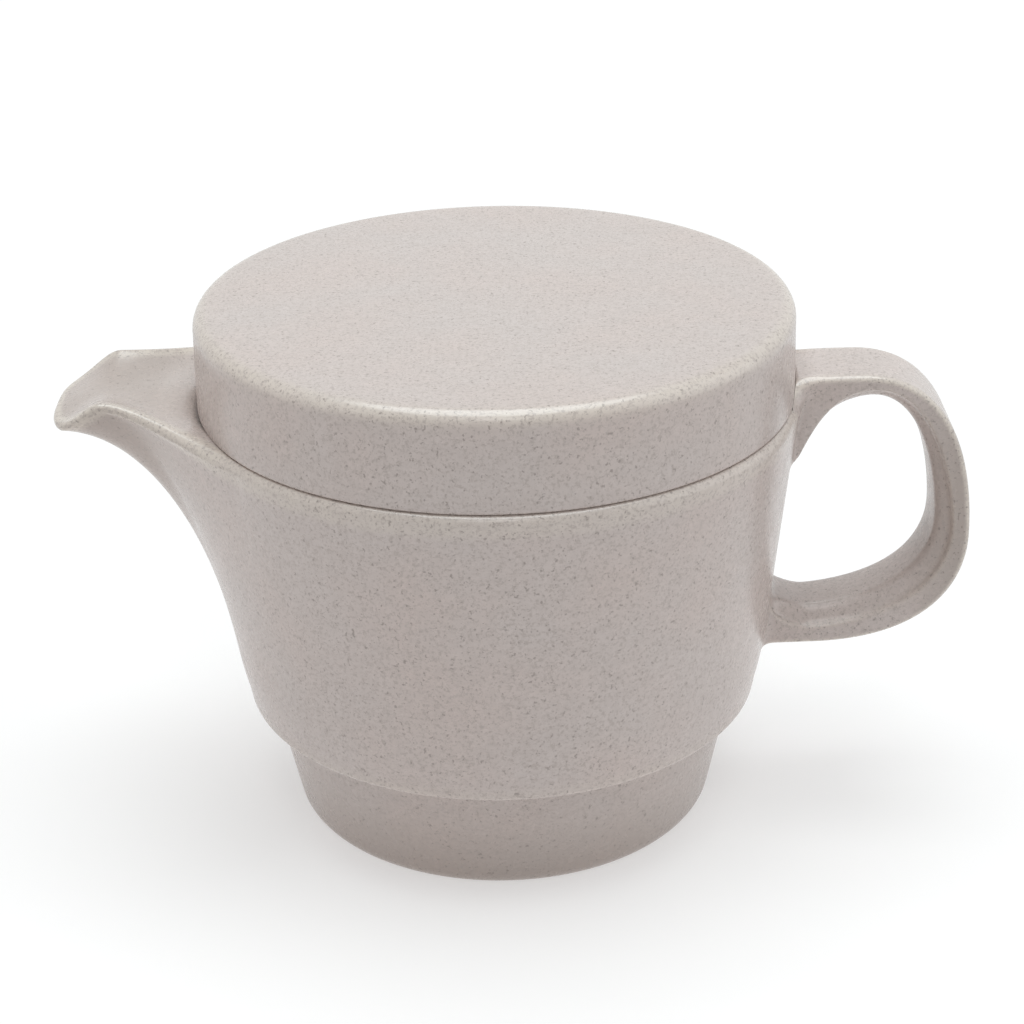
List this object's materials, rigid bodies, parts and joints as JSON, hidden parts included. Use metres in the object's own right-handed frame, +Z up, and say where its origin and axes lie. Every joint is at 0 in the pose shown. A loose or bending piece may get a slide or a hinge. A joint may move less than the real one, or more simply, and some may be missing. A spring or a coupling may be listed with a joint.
{
  "type": "teapot",
  "caption": "Hollow glazed ceramic teapot with a stepped foot, an open beak spout, a strap handle and a flat-topped cap lid that rests on the rim.",
  "frame": {"origin": "on the pot's axis, on the table plane under the foot", "axes": "+Z up along the pot's axis; the spout points to -X and the handle to +X"},
  "size_m": [0.2127, 0.1402, 0.1271],
  "materials": {
    "glaze_pot": "semi-gloss speckled glaze",
    "glaze_lid": "semi-gloss speckled glaze"
  },
  "bodies": {
    "root": {"pot": "glaze_pot", "lid": "glaze_lid"}
  },
  "joints": []
}
